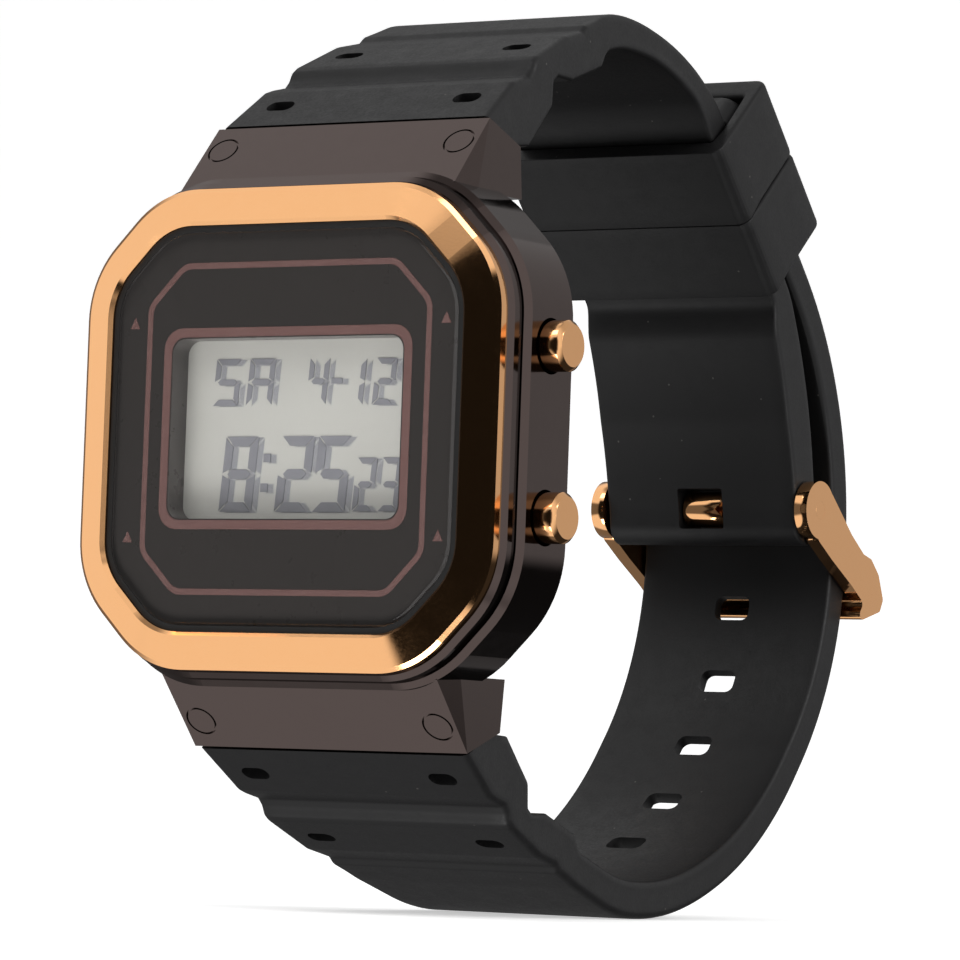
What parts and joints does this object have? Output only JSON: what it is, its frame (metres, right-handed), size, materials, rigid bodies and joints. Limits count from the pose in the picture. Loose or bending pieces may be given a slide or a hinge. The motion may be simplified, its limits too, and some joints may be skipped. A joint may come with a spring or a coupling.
{
  "type": "digital wristwatch",
  "caption": "Square cushion digital wristwatch with bright bezel, side push buttons, ribbed resin strap, keepers and pin buckle, buckled into its closed loop.",
  "frame": {"origin": "centre of the case back's outer face", "axes": "+X towards 3 o'clock, +Z towards 12 o'clock, +Y out of the case back, towards the wrist, so the dial faces -Y"},
  "size_m": [0.0462, 0.0819, 0.0761],
  "materials": {
    "case_plating": "dark bronze plating over moulded plastic, glossy",
    "rose_gold": "rose gold plating, polished with a fine grain",
    "mineral_glass": "clear, flat, polished",
    "gasket_rubber": "black, matte",
    "printed_panel": "black-brown print with dark red lines",
    "lcd_glass": "grey-green liquid crystal display with grey segments",
    "diffuser_plastic": "white, translucent",
    "module_plastic": "black moulded plastic",
    "board_laminate": "green glass laminate",
    "steel": "stainless steel, fine brushed",
    "spring_steel": "bright spring steel",
    "buzzer_brass": "thin brass disc with a ceramic face",
    "strap_rubber": "black resin, matte, lightly dusty"
  },
  "bodies": {
    "watch": {"back_gasket": "gasket_rubber", "back_screws": "steel", "backlight_lamp": "diffuser_plastic", "backlight_panel": "diffuser_plastic", "battery_clip": "spring_steel", "bezel": "rose_gold", "button_seal_left_lower": "gasket_rubber", "button_seal_left_upper": "gasket_rubber", "button_seal_right_lower": "gasket_rubber", "button_seal_right_upper": "gasket_rubber", "button_spring_left_lower": "spring_steel", "button_spring_left_upper": "spring_steel", "button_spring_right_lower": "spring_steel", "button_spring_right_upper": "spring_steel", "buzzer_disc": "buzzer_brass", "buzzer_spring": "spring_steel", "case_back": "steel", "case_middle": "case_plating", "cell_contact": "spring_steel", "circuit_board": "board_laminate", "clock_chip": "module_plastic", "coin_cell": "steel", "crystal": "mineral_glass", "crystal_gasket": "gasket_rubber", "face_panel": "printed_panel", "lcd_cell": "lcd_glass", "lcd_connector_lower": "gasket_rubber", "lcd_connector_upper": "gasket_rubber", "module_frame": "module_plastic", "quartz_can": "steel", "spring_bar_coil_lower": "spring_steel", "spring_bar_coil_upper": "spring_steel", "spring_bar_lower": "steel", "spring_bar_upper": "steel", "strap_lower": "strap_rubber", "strap_upper": "strap_rubber"},
    "push_button_right_upper": {"button_right_upper": "rose_gold", "button_clip_right_upper": "spring_steel"},
    "push_button_right_lower": {"button_right_lower": "rose_gold", "button_clip_right_lower": "spring_steel"},
    "push_button_left_upper": {"button_left_upper": "rose_gold", "button_clip_left_upper": "spring_steel"},
    "push_button_left_lower": {"button_left_lower": "rose_gold", "button_clip_left_lower": "spring_steel"},
    "bar_tip_upper_right": {"spring_bar_tip_upper_right": "steel"},
    "bar_tip_upper_left": {"spring_bar_tip_upper_left": "steel"},
    "bar_tip_lower_right": {"spring_bar_tip_lower_right": "steel"},
    "bar_tip_lower_left": {"spring_bar_tip_lower_left": "steel"},
    "keeper_upper": {"keeper_upper": "strap_rubber"},
    "keeper_lower": {"keeper_lower": "strap_rubber"},
    "buckle": {"buckle_frame": "rose_gold", "buckle_pin": "rose_gold"},
    "tongue": {"buckle_tongue": "rose_gold"}
  },
  "joints": [
    {"name": "press_right_upper", "type": "slide", "parent": "watch", "child": "push_button_right_upper", "axis": [-1, 0, 0], "range_m": [0, 0.0009], "stiffness_N_per_m": 2000, "springref_m": -0.0005, "deforming": ["button_spring_right_upper"]},
    {"name": "press_right_lower", "type": "slide", "parent": "watch", "child": "push_button_right_lower", "axis": [-1, 0, 0], "range_m": [0, 0.0009], "stiffness_N_per_m": 2000, "springref_m": -0.0005, "deforming": ["button_spring_right_lower"]},
    {"name": "press_left_upper", "type": "slide", "parent": "watch", "child": "push_button_left_upper", "axis": [1, 0, 0], "range_m": [0, 0.0009], "stiffness_N_per_m": 2000, "springref_m": -0.0005, "deforming": ["button_spring_left_upper"]},
    {"name": "press_left_lower", "type": "slide", "parent": "watch", "child": "push_button_left_lower", "axis": [1, 0, 0], "range_m": [0, 0.0009], "stiffness_N_per_m": 2000, "springref_m": -0.0005, "deforming": ["button_spring_left_lower"]},
    {"name": "release_upper_right", "type": "slide", "parent": "watch", "child": "bar_tip_upper_right", "axis": [-1, 0, 0], "range_m": [0, 0.0011], "stiffness_N_per_m": 1500, "springref_m": -0.001},
    {"name": "release_upper_left", "type": "slide", "parent": "watch", "child": "bar_tip_upper_left", "axis": [1, 0, 0], "range_m": [0, 0.0011], "stiffness_N_per_m": 1500, "springref_m": -0.001},
    {"name": "release_lower_right", "type": "slide", "parent": "watch", "child": "bar_tip_lower_right", "axis": [-1, 0, 0], "range_m": [0, 0.0011], "stiffness_N_per_m": 1500, "springref_m": -0.001},
    {"name": "release_lower_left", "type": "slide", "parent": "watch", "child": "bar_tip_lower_left", "axis": [1, 0, 0], "range_m": [0, 0.0011], "stiffness_N_per_m": 1500, "springref_m": -0.001},
    {"name": "slide_keeper_upper", "type": "slide", "parent": "watch", "child": "keeper_upper", "axis": [0, -0.6823, 0.7311], "range_m": [0, 0.002]},
    {"name": "slide_keeper_lower", "type": "slide", "parent": "watch", "child": "keeper_lower", "axis": [0, 0.6823, -0.7311], "range_m": [0, 0.002]},
    {"name": "buckle_turn", "type": "hinge", "parent": "watch", "child": "buckle", "pos_m": [0, 0.05765, -0.0021], "axis": [1, 0, 0], "range_deg": [0, 2.5]},
    {"name": "tongue_turn", "type": "hinge", "parent": "buckle", "child": "tongue", "pos_m": [0, 0.05765, -0.0021], "axis": [1, 0, 0], "range_deg": [0, 1]}
  ]
}
